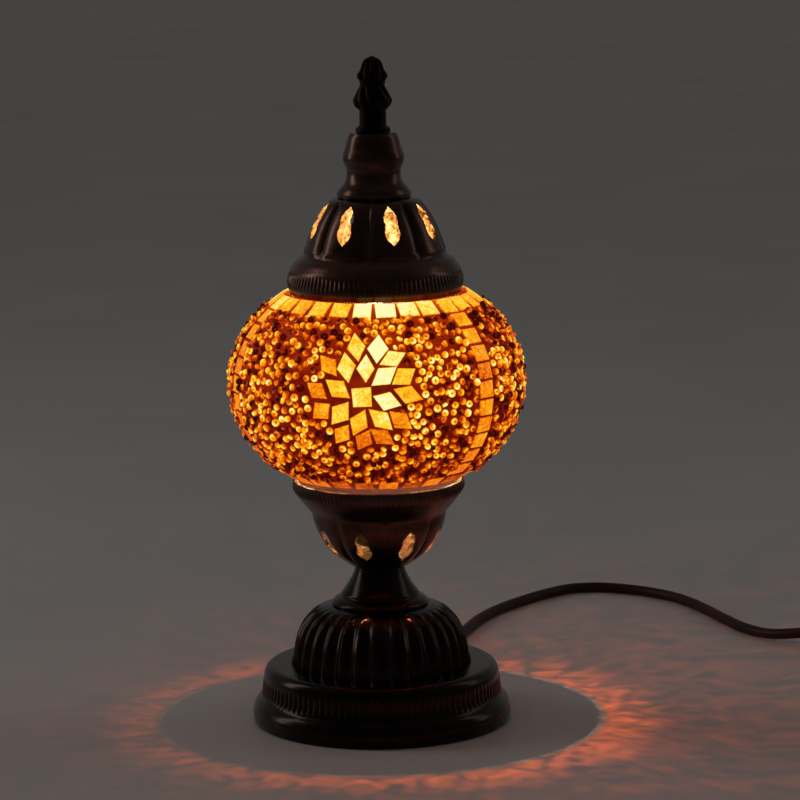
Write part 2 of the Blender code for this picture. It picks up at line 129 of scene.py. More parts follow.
def make_camera():
    """A long lens a little above the globe, with the lamp left of the picture's middle."""
    data = bpy.data.cameras.new("camera")
    data.lens = LENS
    data.sensor_width = 36.0
    data.shift_x = SIDE_SHIFT
    camera = new_object("camera", data)
    camera.location = (0.0, -CAMERA_DISTANCE, CAMERA_HEIGHT)
    tilt = Matrix.Rotation(math.pi / 2 - CAMERA_PITCH, 4, "X") @ Matrix.Rotation(CAMERA_ROLL, 4, "Z")
    camera.rotation_euler = tilt.to_euler()
    bpy.context.scene.camera = camera


# ---------------- finishes

def set_inputs(node, inputs):
    """Link a node's inputs to sockets, or set them to values."""
    for key, value in inputs.items():
        if isinstance(value, bpy.types.NodeSocket):
            node.id_data.links.new(value, node.inputs[key])
        else:
            node.inputs[key].default_value = value


def add_node(owner, kind, inputs=None, **settings):
    """A shader node with its settings and inputs, in the tree of another node or socket."""
    node = owner.id_data.nodes.new("ShaderNode" + kind)
    for key, value in settings.items():
        setattr(node, key, value)
    set_inputs(node, inputs or {})
    return node


def new_finish(name):
    """An empty material with its Principled shader, and the place on the object as coordinates."""
    finish = bpy.data.materials.new(name)
    finish.use_nodes = True
    shader = finish.node_tree.nodes["Principled BSDF"]
    return finish, shader, add_node(shader, "TexCoord").outputs["Object"]


def noise(place, scale, detail=3.0, rough=0.5, distortion=0.0):
    """Soft noise, scale in features for each metre."""
    shape = {"Scale": scale, "Detail": detail, "Roughness": rough, "Distortion": distortion}
    return add_node(place, "TexNoise", {"Vector": place, **shape}).outputs["Fac"]


def ramp(value, *stops):
    """A value turned into a colour by (place, colour) stops."""
    node = add_node(value, "ValToRGB", {"Fac": value})
    elements = node.color_ramp.elements
    while len(elements) < len(stops):
        elements.new(0.5)
    for element, (place, colour) in zip(elements, stops):
        element.position = place
        element.color = (*colour, 1.0)
    return node.outputs["Color"]


def span(value, low, high):
    """A value of 0 to 1 stretched to the range low to high."""
    inputs = {"Value": value, "To Min": low, "To Max": high}
    return add_node(value, "MapRange", inputs).outputs["Result"]


def sum_node(operation, first, second=0.0):
    """One sum, product or the like, of a socket and a socket or number."""
    return add_node(first, "Math", {0: first, 1: second}, operation=operation).outputs[0]


def bump(height, depth, under=None):
    """A normal from a height of 0 to 1 that is depth metres deep, over another normal."""
    inputs = {"Height": height, "Distance": depth, "Strength": 1.0}
    if under:
        inputs["Normal"] = under
    return add_node(height, "Bump", inputs).outputs["Normal"]


def attribute(owner, name):
    """A number stored on the mesh."""
    return add_node(owner, "Attribute", attribute_name=name).outputs["Fac"]


def scaled(colour, share, extra=0.0):
    """A colour made lighter or darker."""
    return tuple(min(1.0, share * part + extra) for part in colour)


def bronze(name, dark, mid, wear_and_highlight, gloss, lacquer):
    """Antique bronze under lacquer: nearly black, browner in patches, redder on raised parts from wear and a
    painted warm highlight.
    """
    finish, shader, place = new_finish(name)
    patches = ramp(noise(place, 45.0, 5.0, 0.6), (0.35, dark), (0.52, mid), (0.7, dark))
    speckle = noise(place, 700.0)
    # The redder colour on raised parts is wear and also a painted warm highlight.
    wear_and_highlight_mask = sum_node("MULTIPLY", attribute(shader, "wear_and_highlight"), span(speckle, 0.3, 1.0))
    wear_and_highlight_mix = add_node(wear_and_highlight_mask, "Mix", {0: wear_and_highlight_mask, 6: patches, 7: (*wear_and_highlight, 1.0)}, data_type="RGBA")
    set_inputs(shader, {
        "Base Color": wear_and_highlight_mix.outputs[2],
        "Metallic": 1.0,
        "Roughness": span(noise(place, 160.0, 4.0, 0.65, 0.4), gloss, gloss + 0.2),
        "Normal": bump(speckle, 0.00003, bump(noise(place, 90.0, 2.0), 0.00025)),
        "Coat Weight": lacquer,
        "Coat Roughness": 0.1,
    })
    return finish


def crumpled_brass():
    """Bare brass inside the cap and the cup, dented all over from the press."""
    finish, shader, place = new_finish("lamp_inside")
    cloud = noise(place, 220.0, 3.0, 0.6)
    dents = bump(noise(place, 260.0, 2.0, 0.5, 0.6), 0.002)
    dark, mid, pale = (0.2, 0.11, 0.03), (0.8, 0.6, 0.32), (0.95, 0.84, 0.62)
    set_inputs(shader, {
        "Base Color": ramp(cloud, (0.4, dark), (0.5, mid), (0.66, pale)),
        "Metallic": 1.0,
        "Roughness": span(noise(place, 600.0), 0.25, 0.5),
        "Normal": bump(noise(place, 900.0), 0.0002, dents),
    })
    return finish


def plain_metal(name, colour, gloss):
    """Bare metal with fine turning marks."""
    finish, shader, place = new_finish(name)
    stretched = add_node(place, "Mapping", {"Vector": place, "Scale": (1.0, 1.0, 12.0)}).outputs["Vector"]
    marks = noise(stretched, 260.0)
    set_inputs(shader, {
        "Base Color": ramp(noise(place, 120.0, 4.0), (0.3, scaled(colour, 0.6)), (0.65, colour)),
        "Metallic": 1.0,
        "Roughness": span(marks, gloss, gloss + 0.25),
        "Normal": bump(marks, 0.00004),
    })
    return finish


def moulded(name, colour, gloss, grain=0.00004, sheen=0.0, shine=0.5):
    """Moulded plastic or rubber with a fine spark-eroded grain and faint handling marks."""
    finish, shader, place = new_finish(name)
    set_inputs(shader, {
        "Base Color": ramp(noise(place, 80.0, 4.0), (0.4, colour), (0.8, scaled(colour, 1.7, 0.004))),
        "Roughness": span(noise(place, 260.0, 5.0, 0.7, 1.0), gloss, gloss + 0.3),
        "Normal": bump(noise(place, 1800.0), grain),
        "Sheen Weight": sheen,
        "Specular IOR Level": shine,
    })
    return finish


def felt():
    """Black felt with loose fibres."""
    finish, shader, place = new_finish("felt")
    fibres = noise(place, 1500.0, 6.0, 0.8, 2.0)
    set_inputs(shader, {
        "Base Color": ramp(fibres, (0.3, (0.006, 0.006, 0.006)), (0.7, (0.05, 0.048, 0.045))),
        "Normal": bump(fibres, 0.0004),
        "Roughness": 0.95,
        "Sheen Weight": 0.4,
    })
    return finish


def clear_glass(name, tint, waves):
    """Blown glass with faint waves and a film of dust."""
    finish, shader, place = new_finish(name)
    set_inputs(shader, {
        "Base Color": ramp(noise(place, 30.0), (0.3, tint), (0.7, (1.0, 0.98, 0.94))),
        "Transmission Weight": 1.0,
        "IOR": 1.45,
        "Roughness": span(noise(place, 400.0, 5.0, 0.7), 0.01, 0.09),
        "Normal": bump(noise(place, 60.0, 2.0), waves),
    })
    return finish


GLOW = [
    (0.0, (0.030, 0.0004, 0.0)), (0.15, (0.13, 0.0035, 0.0)), (0.32, (0.44, 0.038, 0.0005)),
    (0.48, (0.88, 0.155, 0.002)), (0.64, (1.0, 0.36, 0.005)), (0.78, (1.0, 0.62, 0.022)),
    (0.9, (1.0, 0.85, 0.12)), (1.0, (1.0, 0.97, 0.47)),
]
GROUT_GLOW = [
    (0.0, (0.020, 0.0006, 0.0)), (0.28, (0.14, 0.004, 0.0)), (0.66, (0.47, 0.026, 0.0005)),
    (1.0, (0.95, 0.24, 0.01)),
]


def lit_glass(name, base, swing):
    """Amber glass lit from behind. The mesh's number called lit says how brightly, and swing varies it."""
    finish, shader, place = new_finish(name)
    cloud = noise(place, 260.0, 4.0, 0.6, 1.2)
    fleck = noise(place, 1100.0, 3.0, 0.7, 0.8)
    sway = sum_node("MULTIPLY", sum_node("SUBTRACT", cloud, 0.5), swing)
    grain = sum_node("MULTIPLY", sum_node("SUBTRACT", fleck, 0.5), 0.75)
    level = sum_node("ADD", attribute(shader, "lit"), sum_node("ADD", sway, grain))
    set_inputs(shader, {
        "Base Color": ramp(cloud, (0.3, base), (0.8, scaled(base, 1.6))),
        "Emission Color": ramp(level, *GLOW),
        "Emission Strength": 1.0,
        "Roughness": span(cloud, 0.25, 0.5),
        "Specular IOR Level": 0.2,
        "Coat Weight": 0.15,
        "Coat Roughness": 0.07,
        "Normal": bump(fleck, 0.00008, bump(cloud, 0.0006)),
    })
    finish.cycles.emission_sampling = "NONE"
    return finish


def grout():
    """Dark grout that lets a little red light through where it is thin."""
    finish, shader, place = new_finish("grout")
    lumps = noise(place, 500.0, 5.0, 0.65)
    thin = span(noise(place, 120.0), 0.07, 0.9)
    set_inputs(shader, {
        "Base Color": ramp(lumps, (0.3, (0.012, 0.008, 0.006)), (0.7, (0.05, 0.032, 0.022))),
        "Emission Color": ramp(sum_node("MULTIPLY", attribute(shader, "lit"), thin), *GROUT_GLOW),
        "Emission Strength": 1.0,
        "Roughness": 0.75,
        "Normal": bump(lumps, 0.0005),
    })
    finish.cycles.emission_sampling = "NONE"
    return finish


def glowing_wire():
    """The hot filament."""
    finish, shader, place = new_finish("hot_wire")
    set_inputs(shader, {
        "Base Color": (0.3, 0.25, 0.2, 1.0),
        "Emission Color": ramp(noise(place, 300.0), (0.3, (1.0, 0.55, 0.2)), (0.7, (1.0, 0.75, 0.42))),
        "Emission Strength": 30.0,
    })
    finish.cycles.emission_sampling = "NONE"
    return finish


BRONZE = bronze("antique_bronze", (0.005, 0.003, 0.002), (0.02, 0.009, 0.005), (0.1, 0.036, 0.016),
                0.16, 0.2)
BROWN = bronze("brown_bronze", (0.035, 0.016, 0.011), (0.10, 0.045, 0.030), (0.2, 0.08, 0.045),
               0.2, 0.2)
CAST = bronze("cast_bronze", (0.003, 0.002, 0.001), (0.012, 0.006, 0.004), (0.05, 0.02, 0.01), 0.36, 0.03)
INSIDE = crumpled_brass()
FINISHES = {
    "antique_bronze": BRONZE,
    "steel": plain_metal("steel", (0.55, 0.55, 0.54), 0.22),
    "raw_brass": plain_metal("raw_brass", (0.62, 0.42, 0.17), 0.2),
    "amber_glass": clear_glass("amber_glass", (0.98, 0.86, 0.66), 0.0006),
    "mosaic": lit_glass("amber_tile", (0.08, 0.018, 0.002), 0.55),
    "bulb_glass": clear_glass("bulb_glass", (1.0, 0.96, 0.9), 0.0001),
    "filament": glowing_wire(),
    "felt": felt(),
    "cord_brown": moulded("cord_brown", (0.026, 0.007, 0.004), 0.3, 0.00003, shine=0.2),
    "black_plastic": moulded("black_plastic", (0.012, 0.012, 0.012), 0.28),
    "ivory_plastic": moulded("ivory_plastic", (0.72, 0.67, 0.55), 0.25, 0.00002),
    "rubber": moulded("rubber", (0.018, 0.015, 0.013), 0.5, 0.00008, 0.1),
}


# ---------------- meshes and pieces

def store(mesh, name, values):
    """Keep one number for each vertex on the mesh."""
    numbers = np.asarray(values, dtype=np.float32)
    mesh.attributes.new(name, "FLOAT", "POINT").data.foreach_set("value", numbers)


def piece(name, mesh, node, finishes=None, replace=True, sharp=40.0):
    """An object that rides, takes its finish, and stands for a CAD node."""
    thing = new_object(name, mesh)
    for finish in finishes or [FINISHES[SLOT_OF[node]]]:
        mesh.materials.append(finish)
    mesh.shade_smooth()
    mesh.set_sharp_from_angle(angle=math.radians(sharp))
    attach(thing, BODY_OF[node])
    if replace:
        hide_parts(node)
    return thing


def section(node, place):
    """A turned CAD node's outline in its own axes, as (radius, height) points, and whether it closes."""
    back = place.inverted()
    mesh = NODES[node].data
    key_of = {}
    joined = {}
    for vertex in mesh.vertices:
        point = back @ vertex.co
        if abs(point.y) < 1e-5 and point.x > -1e-5:
            key = (round(point.x, 5), round(point.z, 5))
            key_of[vertex.index] = key
            joined.setdefault(key, set())
    for edge in mesh.edges:
        a, b = (key_of.get(index) for index in edge.vertices)
        if a and b and a != b and (a[0] > 0 or b[0] > 0):
            joined[a].add(b)
            joined[b].add(a)
    ends = sorted((key for key, near in joined.items() if len(near) == 1), key=lambda key: -key[1])
    here = ends[0] if ends else max(joined)
    outline = [here]
    while True:
        onward = [key for key in sorted(joined[here]) if key not in outline]
        if not onward:
            break
        here = onward[0]
        outline.append(here)
    if ends:
        first = [(0.0, outline[0][1])] * (outline[0][0] > 0)
        last = [(0.0, outline[-1][1])] * (outline[-1][0] > 0)
        outline = first + outline + last
    return outline, not ends


def finer(outline, closed, step, corner=38.0):
    """The outline with its gentle bends rounded and its long runs divided. Bends over corner stay sharp."""
    points = [Vector(point) for point in outline]
    count = len(points)
    runs = count if closed else count - 1
    chords = [points[(i + 1) % count] - points[i] for i in range(runs)]
    bends = [None] * count
    for i in range(count):
        if not closed and i in (0, count - 1):
            continue
        before, after = chords[i - 1], chords[i % runs]
        if before.angle(after) < math.radians(corner):
            bends[i] = (before + after).normalized()
    result = []
    for i, chord in enumerate(chords):
        start, end = points[i], points[(i + 1) % count]
        length = chord.length
        leaving = (bends[i] or chord.normalized()) * length
        arriving = (bends[(i + 1) % count] or chord.normalized()) * length
        parts = max(1, math.ceil(length / step))
        result += [curve_point(start, end, leaving, arriving, part / parts) for part in range(parts)]
    if not closed:
        result.append(points[-1])
    return result


def lathe(name, outline, closed, around, form=None, place=Matrix()):
    """Turn an outline. form(turn, radius, height), in mm, gives what the radius gains and how much wear and
    painted warm highlight it takes.
    """
    turn, radius = np.meshgrid(np.arange(around) * math.tau / around, [p[0] for p in outline])
    height = np.repeat(np.array([p[1] for p in outline])[:, None], around, 1)
    wear_and_highlight = 0.0
    if form:
        extra, wear_and_highlight = form(turn, radius / MM, height / MM)
        radius = np.where(radius > 1e-6, radius + extra * MM, 0.0)
    points = np.stack([radius * np.cos(turn), radius * np.sin(turn), height], -1).reshape(-1, 3)
    mesh = new_mesh(name, points.tolist(), grid_faces(len(outline), around, closed))
    store(mesh, "wear_and_highlight", np.broadcast_to(wear_and_highlight, radius.shape).ravel())
    mesh.transform(place)
    shape = bmesh.new()
    shape.from_mesh(mesh)
    bmesh.ops.remove_doubles(shape, verts=shape.verts, dist=1e-6)
    bmesh.ops.recalc_face_normals(shape, faces=shape.faces)
    shape.to_mesh(mesh)
    shape.free()
    return mesh


def turned_piece(node, around=96, step=1.5, form=None, place=Matrix(), **keywords):
    """A finer version of a turned CAD node, with its detail."""
    outline, closed = section(node, place)
    mesh = lathe(node + "_fine", finer(outline, closed, step * MM), closed, around, form, place)
    return piece(node + "_fine", mesh, node, **keywords)


def line_inside(mesh, focus):
    """Give the faces that look towards a point inside the second finish."""
    for face in mesh.polygons:
        face.material_index = 1 if face.normal.dot(focus - face.center) > 0 else 0


def cut_out(thing, cutter):
    """Take a cutter's shape out of a piece and remove the cutter."""
    modifier = thing.modifiers.new("cut", "BOOLEAN")
    modifier.operation = "DIFFERENCE"
    modifier.solver = "EXACT"
    modifier.object = cutter
    bpy.context.view_layer.update()
    evaluated = thing.evaluated_get(bpy.context.evaluated_depsgraph_get())
    thing.data = bpy.data.meshes.new_from_object(evaluated)
    thing.modifiers.clear()
    bpy.data.objects.remove(cutter)


def make_cutter(name, points, faces, finish_index=0):
    """A bare object for cutting with. The cut faces take the finish with this index."""
    mesh = new_mesh(name, points, faces)
    for face in mesh.polygons:
        face.material_index = finish_index
    return new_object(name, mesh)


# ---------------- metalwork

FLUTES = 32
RIBS = 108
WINDOWS = 8
CAP_WINDOW_TURN = math.radians(16.5)
CUP_WINDOW_TURN = math.radians(28.7)
DOME_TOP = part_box("fluted_dome")[1].z / MM
CAP_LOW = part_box("cap_dome")[0].z / MM
CUP_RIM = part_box("cup_gallery")[1].z / MM
FINIAL_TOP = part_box("finial")[1].z / MM
CORD_EXIT_HEIGHT = 15.5 * MM
CORD_EXIT_TURN = math.radians(15)       # from straight back towards the right


# Each form's second number is wear together with a painted warm highlight on raised parts, for the bronze
# finishes.
def rib_ring(turn, height, low, high, depth):
    """A band of short upright ribs with rounded ends, for the rolled edges. Also how raised it is."""
    raised = (0.5 + 0.5 * np.cos(turn * RIBS)) ** 0.7
    reach = np.sqrt(band(height, low, high, 1.6))
    return depth * reach * (raised - 0.8), reach * raised


def lobes(turn, window_turn, low, high, height, depth):
    """Eight lobes with a groove between each two, centred on the windows. Also how deep the groove is."""
    across = np.abs(((turn - (window_turn - math.pi / 2)) * WINDOWS / math.tau) % 1.0 - 0.5)
    groove = (1 - 2 * across) ** 5
    reach = band(height, low, high, 3.0)
    return -depth * groove * reach, groove * reach


def foot_form(turn, radius, height):
    """The ribbed band round the foot."""
    extra, raised = rib_ring(turn, height, 11.8, 19.4, 0.55)
    rolled = band(height, 2.0, 9.0, 2.0) * 0.1
    ledge = band(height, 21.5, 24.6, 1.0) * 0.15
    # The ribs, the rolled foot and the ledge take wear and a painted warm highlight.
    return extra, 0.3 * raised + rolled + ledge


def dome_form(turn, radius, height):
    """Shallow hollow flutes between narrow rounded ridges, fading out under the neck."""
    rounding = 0.2
    hollow = np.abs(np.cos(turn * FLUTES / 2))
    scoop = (np.sqrt(hollow**2 + rounding**2) - rounding) / (math.sqrt(1 + rounding**2) - rounding)
    reach = 1 - smooth_step(height, DOME_TOP - 3.4, DOME_TOP - 0.3)
    flare = 1 - smooth_step(height, 25.0, 28.5)
    ridge = (1 - scoop) ** 2
    # The ridges take wear and a painted warm highlight.
    return (0.25 * ridge - 1.5 * scoop) * reach + flare * (0.7 * ridge + 0.2), ridge * reach * 0.35


def cap_form(turn, radius, height):
    """The cap's lobes and the ribbed band over its rim."""
    dip, groove = lobes(turn, CAP_WINDOW_TURN, 203.2, 227.0, height, 1.7)
    ring, raised = rib_ring(turn, height, CAP_LOW + 3.6, CAP_LOW + 9.4, 0.5)
    crease = band(height, 201.6, 205.2, 1.4)
    swell = band(height, 195.0, 202.8, 2.5)
    # The swell band takes the most painted highlight, and the ribs and lobes take wear and a painted
    # highlight.
    return dip + ring + 0.8 * (swell - crease), 0.2 * raised + 0.25 * swell + 0.06 * (1 - groove)


def cup_form(turn, radius, height):
    """The cup's faint lobes and the ribbed band under its rim."""
    dip, groove = lobes(turn, CUP_WINDOW_TURN, 71.0, 92.0, height, 1.0)
    ring, raised = rib_ring(turn, height, CUP_RIM - 5.6, CUP_RIM - 0.6, 0.5)
    edge = band(height, 91.0, 95.0, 1.5)
    return dip + ring, 0.2 * raised + 0.2 * edge + 0.06 * (1 - groove)


def neck_form(turn, radius, height):
    """A rolled ring round the neck's foot, with a groove over it."""
    ring = band(height, 51.0, 54.4, 1.0)
    groove = band(height, 54.0, 55.8, 0.8)
    return 0.5 * ring - 0.6 * groove, 0.15 * ring


def finial_form(turn, radius, height):
    """A ribbed bud over a ring of leaf tips, and a bulb wrapped in spiral leaves."""
    bud = band(height, FINIAL_TOP - 8.0, FINIAL_TOP - 0.2, 1.5)
    leaf = band(height, FINIAL_TOP - 10.5, FINIAL_TOP - 6.6, 1.2)
    wrap = band(height, FINIAL_TOP - 23.2, FINIAL_TOP - 12.0, 2.0)
    ring = band(height, 255.0, 258.0, 0.8)
    rib = np.abs(np.sin(turn * 5)) ** 0.7
    tip = np.abs(np.sin(turn * 4)) ** 0.8
    swirl = np.abs(np.sin(turn * 4 + (height - 264) / 3.4)) ** 0.6
    extra = bud * (rib - 0.8) * 1.1 + leaf * (tip - 0.5) * 1.3 + wrap * (swirl - 0.75) * 1.6
    return extra, 0.2 * (bud * rib + leaf * tip + wrap * swirl) + 0.1 * ring


def collar_form(turn, radius, height):
    """Fine turned lines on the collar's bulge."""
    wave = 0.5 + 0.5 * np.cos(height * math.tau / 2.4)
    lines = band(height, 240.5, 248.0, 0.6) * wave
    return 0.0, 0.1 * lines + 0.15 * band(height, 228.0, 231.0, 1.0)


def add_bar(points, faces, outline, turn, near, far, height):
    """A bar away from the axis, its outline in (sideways, up) points, for cutting with."""
    away, side = outward(turn)
    base, count = len(points), len(outline)
    for reach in (near, far):
        points += [away * reach + side * x + Vector((0, 0, height + y)) for x, y in outline]
    faces.append([base + i for i in range(count)][::-1])
    faces.append([base + count + i for i in range(count)])
    faces += [face[::-1] for face in grid_faces(2, count, base=base)]


def window_bars(label, half_width, low, tall, first_turn):
    """Eight bars with the windows' outline, set round the lamp, as one cutter."""
    right = [(0.0, 0.0), (0.3, 0.07), (0.62, 0.13), (0.8, 0.18), (1.0, 0.29), (0.98, 0.38), (0.84, 0.44),
             (0.9, 0.49), (0.78, 0.53), (0.8, 0.58), (0.95, 0.63), (0.84, 0.69), (0.9, 0.74), (0.66, 0.81),
             (0.6, 0.86), (0.3, 0.92), (0.0, 1.0)]
    outline = [(x * half_width, y * tall) for x, y in right + [(-x, y) for x, y in right[-2:0:-1]]]
    points, faces = [], []
    for window in range(WINDOWS):
        turn = first_turn - math.pi / 2 + window * math.tau / WINDOWS
        add_bar(points, faces, outline, turn, 12 * MM, 60 * MM, low)
    return make_cutter(label, points, faces, 1)


def make_metal():
    """Foot, dome, neck, cup, cap, collar and finial."""
    base = turned_piece("base_plate", 648, 1.0, foot_form)
    points, faces = [], []
    exit_turn = math.pi / 2 - CORD_EXIT_TURN
    add_bar(points, faces, ring_of(40, 4.3 * MM), exit_turn, 44 * MM, 60 * MM, CORD_EXIT_HEIGHT)
    cut_out(base, make_cutter("cord_hole", points, faces))
    turned_piece("fluted_dome", 384, 1.0, dome_form, sharp=50.0)
    turned_piece("neck_skirt", 160, 0.4, neck_form)
    for node, form, focus, half_width, low, tall, turn in (
        ("cup_gallery", cup_form, 105.0, 3.4, 73.2, 13.6, CUP_WINDOW_TURN),
        ("cap_dome", cap_form, 188.0, 3.3, 209.3, 16.1, CAP_WINDOW_TURN),
    ):
        shell = turned_piece(node, 648, 1.1, form, finishes=[BROWN, INSIDE])
        line_inside(shell.data, Vector((0.0, 0.0, focus * MM)))
        cut_out(shell, window_bars(node + "_windows", half_width * MM, low * MM, tall * MM, turn))
    turned_piece("cap_collar", 128, 0.6, collar_form, finishes=[BROWN])
    turned_piece("finial", 160, 0.35, finial_form, sharp=60.0, finishes=[CAST])


def thread(pitch, depth, low, high, inside=0.0):
    """A rolled screw thread between two heights."""
    def form(turn, radius, height):
        wave = 0.5 + 0.5 * np.cos(height * math.tau / pitch - turn)
        reach = band(height, low, high, pitch) * (radius > inside)
        return (wave - 0.7) * depth * reach, 0.0
    return form


def grip_ribs(turn, radius, height):
    """Upright grip ribs round the lampholder's body."""
    reach = band(height, 94.0, 107.5, 1.5) * (radius > 12)
    return (0.35 * np.abs(np.sin(turn * 15)) - 0.3) * reach, 0.0


def make_insides():
    """The rod, the washers, the lampholder, the felt and plate, and the cap's stud and washer."""
    turned_piece("felt_pad", 160, 2.0)
    turned_piece("bottom_plate", 160, 2.0)
    turned_piece("threaded_rod", 40, 0.25, thread(1.0, 0.5, 16, 84, 4.2))
    turned_piece("cap_stud", 32, 0.2, thread(0.7, 0.35, 219, 266, 1.0))
    for node in ("base_washer", "cup_washer", "cap_washer", "seat_ring", "holder_cap", "centre_contact"):
        turned_piece(node, 96, 0.8)
    turned_piece("holder_body", 120, 0.9, grip_ribs)
    turned_piece("screw_shell", 72, 0.35, thread(2.8, 0.35, 104, 126))


# ---------------- globe

GLOBE_CENTRE = 148.2 * MM       # the height where it is widest
GLOBE_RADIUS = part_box("mosaic_layer")[1].x
FLATNESS = 0.8                  # half height for each unit of radius
HALF_HEIGHT = GLOBE_RADIUS * FLATNESS
HOT = middle("bulb_filament")
SKIN = -0.9 * MM                # the grout's surface, from the outline over the tiles
TOP_ROW = 185.1 * MM
BOTTOM_ROW = 109.5 * MM
NECK_RADIUS = 35 * MM           # the grout is set back only outside this
FULL_GLOW = 50 * MM             # the distance from the filament where brightness is 1
TILE_REACH = 10.5 * MM          # no tile or margin reaches further from its middle
FLOWER_CORE = 18 * MM           # no bead lies this near a flower's middle
GLARE_TURN = 11                 # degrees right of a flower, where the bulb shines through the top row
GLARE_WIDTH = 13


def settle(point, lift=0.0):
    """The nearest place on the globe, lifted along the way out, and that way out."""
    flat = Vector((point.x / GLOBE_RADIUS, point.y / GLOBE_RADIUS, (point.z - GLOBE_CENTRE) / HALF_HEIGHT))
    flat.normalize()
    place = Vector((flat.x * GLOBE_RADIUS, flat.y * GLOBE_RADIUS, GLOBE_CENTRE + flat.z * HALF_HEIGHT))
    out = Vector((flat.x / GLOBE_RADIUS, flat.y / GLOBE_RADIUS, flat.z / HALF_HEIGHT)).normalized()
    return place + out * lift, out


def spot(longitude, height):
    """A place on the globe with its east, north and way out. Longitude 0 is the front, and 90 the right."""
    rise = (height - GLOBE_CENTRE) / HALF_HEIGHT
    radius = GLOBE_RADIUS * math.sqrt(1 - rise * rise)
    turn = math.radians(longitude)
    place = Vector((radius * math.sin(turn), -radius * math.cos(turn), height))
    east, out = outward(turn)[0], settle(place)[1]
    return place, east, out.cross(east).normalized(), out


def brightness(point):
    """How strongly the bulb lights a place on the globe."""
    return (FULL_GLOW / (point - HOT).length) ** 2


class Mosaic:
    """Points, faces and brightness gathered for one object."""

    def __init__(self):
        self.points = []
        self.faces = []
        self.lit = []

    def make(self, name, finish):
        """The finished object."""
        mesh = new_mesh(name, self.points, self.faces)
        store(mesh, "lit", self.lit)
        return piece(name, mesh, "mosaic_layer", [finish])


TILES = []                      # each tile's place, directions and outline, to keep the beads off it


def add_tile(mosaic, place, east, north, outline, level, height=0.75 * MM):
    """One hand-cut flat tile with a ground edge. The outline is in east and north offsets."""
    edge = 0.4 * MM
    outline = [(x + RANDOM.uniform(-0.2, 0.2) * MM, y + RANDOM.uniform(-0.2, 0.2) * MM) for x, y in outline]
    TILES.append((place, east, north, outline))
    lean = (RANDOM.uniform(-0.012, 0.012), RANDOM.uniform(-0.012, 0.012))
    base = len(mosaic.points)
    count = len(outline)
    levels = []
    for ring, lift in enumerate((-1.3 * MM, height + SKIN - edge, height + SKIN)):
        for x, y in outline:
            share = 1.0 - (ring == 2) * edge * 1.4 / math.hypot(x, y)
            point, _ = settle(place + east * x * share + north * y * share, lift + x * lean[0] + y * lean[1])
            mosaic.points.append(point)
            # The glow is painted darker down the tile's ground edge and side walls, as painted shade.
            levels.append(level + (-0.5, -0.3, 0.0)[ring] + RANDOM.uniform(-0.08, 0.08))
    centre, _ = settle(place, height + SKIN + 0.06 * MM)
    mosaic.points.append(centre)
    levels.append(level)
    mosaic.lit += levels
    mosaic.faces += [face[::-1] for face in grid_faces(3, count, base=base)]
    top, middle_point = base + 2 * count, base + 3 * count
    mosaic.faces += [(top + i, top + (i + 1) % count, middle_point) for i in range(count)]
    mosaic.faces.append(tuple(base + i for i in range(count))[::-1])


def rhombus(turn, long, short):
    """A petal's outline about its own centre."""
    along = Vector((math.cos(math.radians(turn)), math.sin(math.radians(turn)))) * long / 2
    across = Vector((-along.y, along.x)).normalized() * short / 2
    return [tuple(corner * MM) for corner in (along, across, -along, -across)]


# Each petal: its middle (right, up), the turn of its long axis, its length and width, and its glow
PETALS = [
    (-6.6, 12.8, 99, 13.8, 8.1, 0.89), (1.7, 12.2, 90, 12.6, 8.1, 0.95),
    (9.7, 8.9, 38, 13.6, 8.7, 1.02), (10.9, -1.7, -20, 13.0, 8.4, 1.01),
    (8.2, -10.0, -44, 13.8, 8.2, 0.85), (-1.3, -11.2, 64, 13.0, 8.6, 0.76),
    (-9.2, -7.2, 53, 12.8, 8.9, 0.77), (-10.2, 3.4, -37, 13.5, 8.4, 0.79),
    (-2.8, 22.4, 99, 14.0, 8.2, 0.81), (7.0, 21.6, 90, 13.4, 8.9, 1.10),
    (13.8, 17.0, 29, 12.9, 8.2, 0.91), (18.5, 8.9, 37, 12.2, 8.7, 0.75),
    (20.3, 0.8, -20, 13.9, 8.2, 0.69), (17.0, -10.6, -43, 13.0, 8.4, 0.55),
    (8.7, -18.4, -39, 12.9, 8.4, 0.51), (0.4, -19.8, 63, 12.0, 8.4, 0.48),
    (-9.2, -17.0, 56, 11.4, 8.2, 0.67), (-18.0, -6.4, 41, 10.8, 8.9, 0.63),
    (-20.0, 2.6, -36, 11.8, 8.0, 0.60), (-15.0, 13.8, -53, 12.5, 8.2, 0.62),
]
FLOWER_TURNS = (-6.0, 114.0, 234.0)
FLOWER_HEIGHT = 151.4 * MM
STRIP_TURNS = (47.5, 167.5, -72.5)


def add_flower(mosaic, longitude):
    """A centre tile with two rings of rhombic petals."""
    place, east, north, _ = spot(longitude, FLOWER_HEIGHT)
    heart = [(-4.3 * MM, 3.6 * MM), (-3.7 * MM, -4.3 * MM), (4.4 * MM, -4.0 * MM), (4.2 * MM, 4.3 * MM)]
    add_tile(mosaic, place, east, north, heart, 0.86)
    for x, y, turn, long, short, level in PETALS:
        here, out = settle(place + (east * x + north * y) * MM)
        level_east = (east - out * east.dot(out)).normalized()
        add_tile(mosaic, here, level_east, out.cross(level_east), rhombus(turn, long, short), level)


def square(wide, tall):
    """A tile's outline, counter-clockwise."""
    return [(-wide / 2, -tall / 2), (wide / 2, -tall / 2), (wide / 2, tall / 2), (-wide / 2, tall / 2)]


